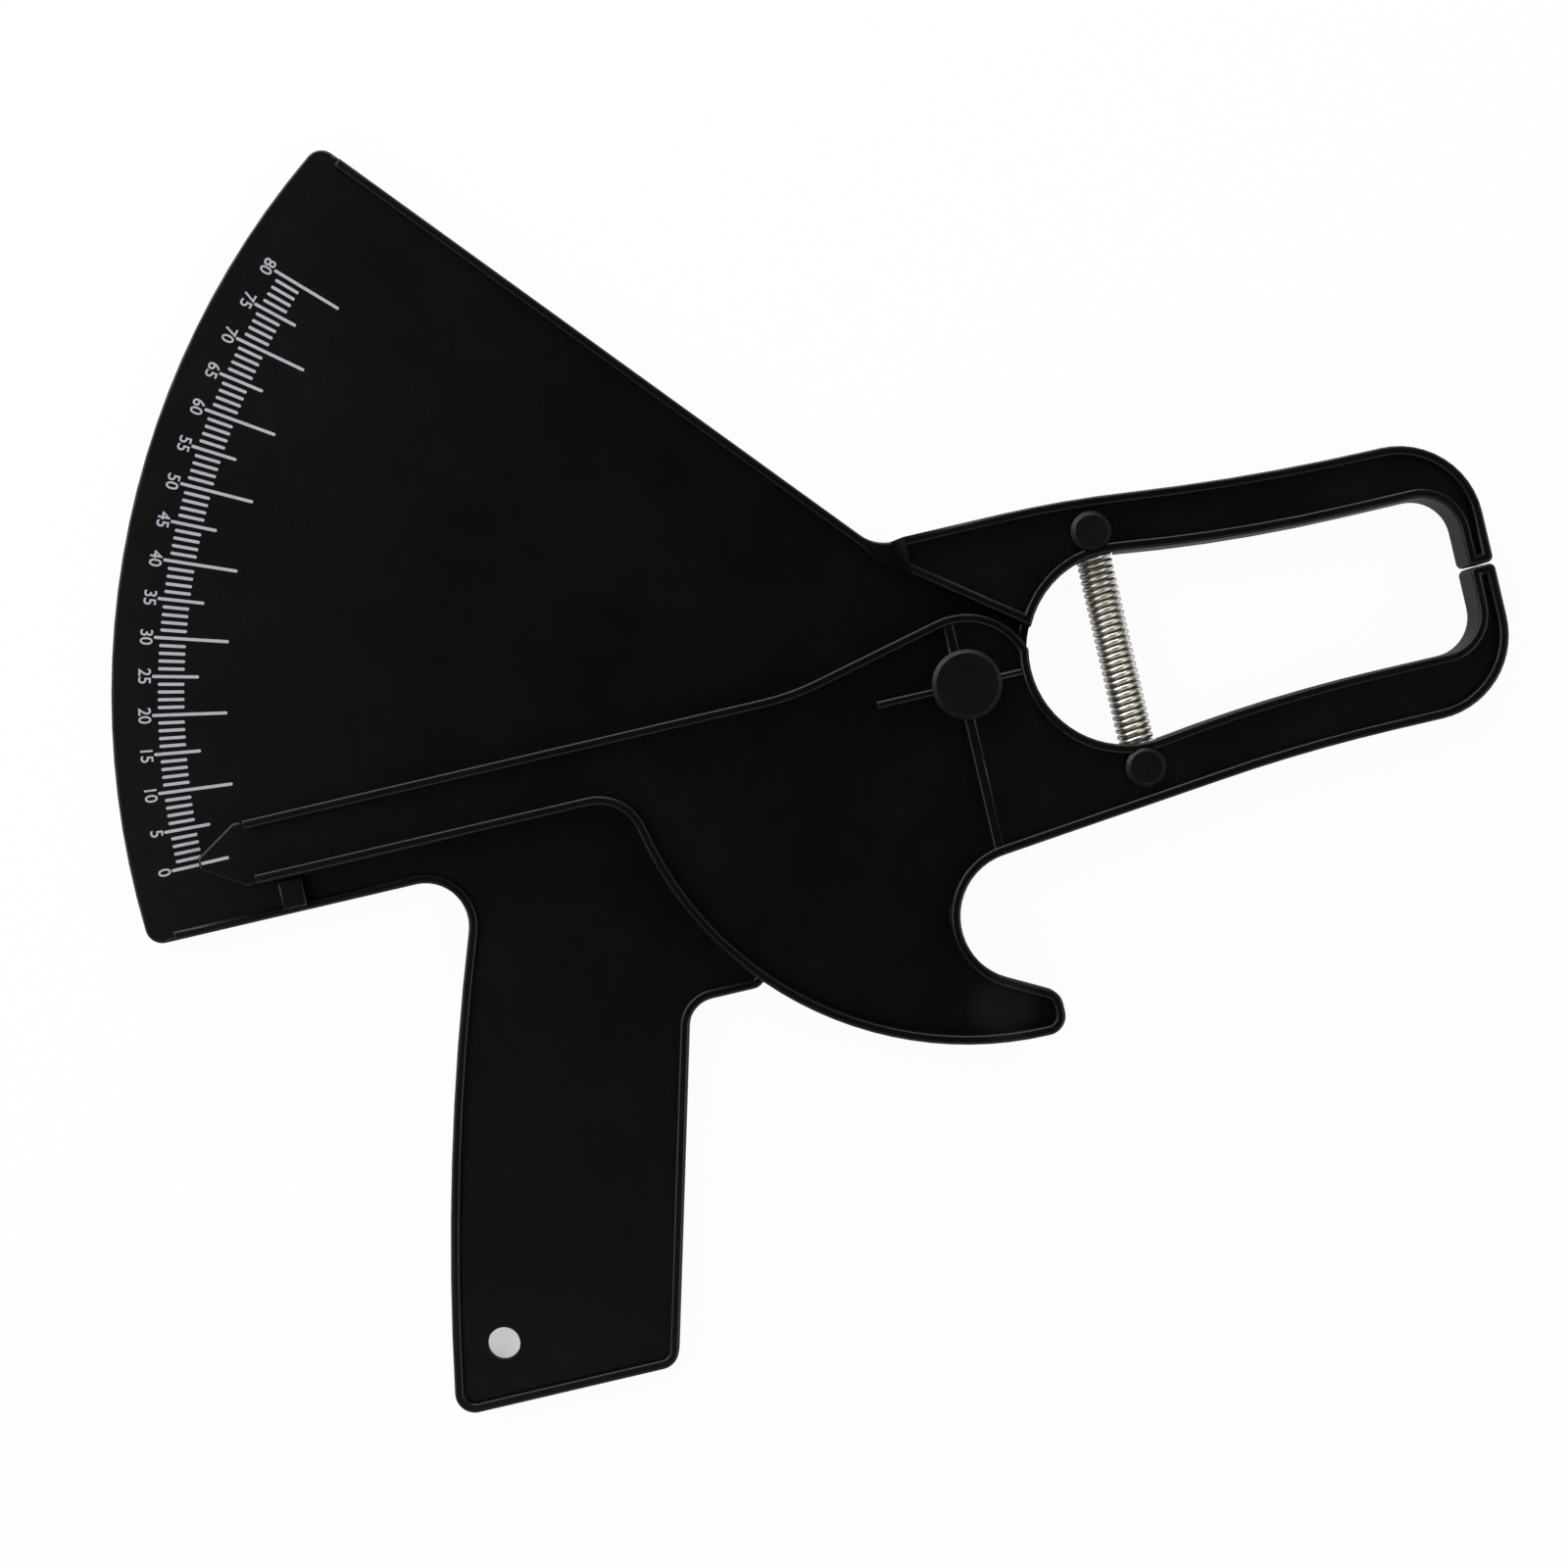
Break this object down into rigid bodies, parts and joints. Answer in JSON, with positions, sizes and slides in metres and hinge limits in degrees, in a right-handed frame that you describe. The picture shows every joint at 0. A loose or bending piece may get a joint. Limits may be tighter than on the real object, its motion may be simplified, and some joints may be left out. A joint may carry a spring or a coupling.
{
  "type": "skinfold caliper",
  "caption": "One-hand skinfold caliper: a fan scale frame with a grip, a sprung swinging jaw with pointer and finger trigger, and an extension spring.",
  "frame": {"origin": "on the pivot axis, in the plane of the caliper's back, which is the outer face of the pivot's back cap", "axes": "+Z from the back through the scale side, along the pivot; +X from the pivot to the closed jaws; +Y towards the scale and the fixed upper jaw"},
  "size_m": [0.2806, 0.2553, 0.0143],
  "materials": {
    "black_moulding": "semi-gloss injection-moulded ABS",
    "black_cap": "satin moulded cap",
    "white_ink": "pad-printed white ink",
    "turned_steel": "turned",
    "spring_steel": "phosphated spring steel",
    "spring_wire": "nickel-plated wire",
    "natural_nylon": "natural nylon"
  },
  "bodies": {
    "frame": {"scale_frame": "black_moulding", "scale_graduations": "white_ink", "pivot_shaft": "turned_steel", "thrust_washer": "natural_nylon", "pivot_front_washer": "turned_steel", "pivot_front_cap": "black_cap", "pivot_back_washer": "turned_steel", "pivot_retaining_ring": "spring_steel", "pivot_back_cap": "black_cap", "upper_spring_pin": "turned_steel", "upper_pin_cap": "black_cap", "upper_pin_clip": "spring_steel"},
    "jaw": {"moving_jaw": "black_moulding", "pointer_index": "white_ink", "pivot_bush": "natural_nylon", "lower_spring_pin": "turned_steel", "lower_pin_cap": "black_cap", "lower_pin_clip": "spring_steel"},
    "spring_coil": {"return_spring": "spring_wire"},
    "spring_hook": {"return_spring_hook": "spring_wire"}
  },
  "joints": [
    {"name": "jaw_pivot", "type": "hinge", "parent": "frame", "child": "jaw", "pos_m": [0, 0, 0.0094], "axis": [0, 0, -1], "range_deg": [0, 50], "stiffness_Nm_per_rad": 0.72, "springref_deg": -49.27},
    {"name": "spring_swing", "type": "hinge", "parent": "frame", "child": "spring_coil", "pos_m": [0.0311, 0.02415, 0.005], "axis": [0, 0, -1], "range_deg": [0, 25]},
    {"name": "spring_stretch", "type": "slide", "parent": "spring_coil", "child": "spring_hook", "axis": [0, -1, 0], "range_m": [0, 0.0218], "deforming": ["return_spring", "return_spring_hook"]}
  ],
  "couplings": [
    {"joint": "spring_swing", "follows": "jaw_pivot", "ratio": 0.5},
    {"joint": "spring_stretch", "follows": "jaw_pivot", "m_per_rad": 0.02494}
  ]
}
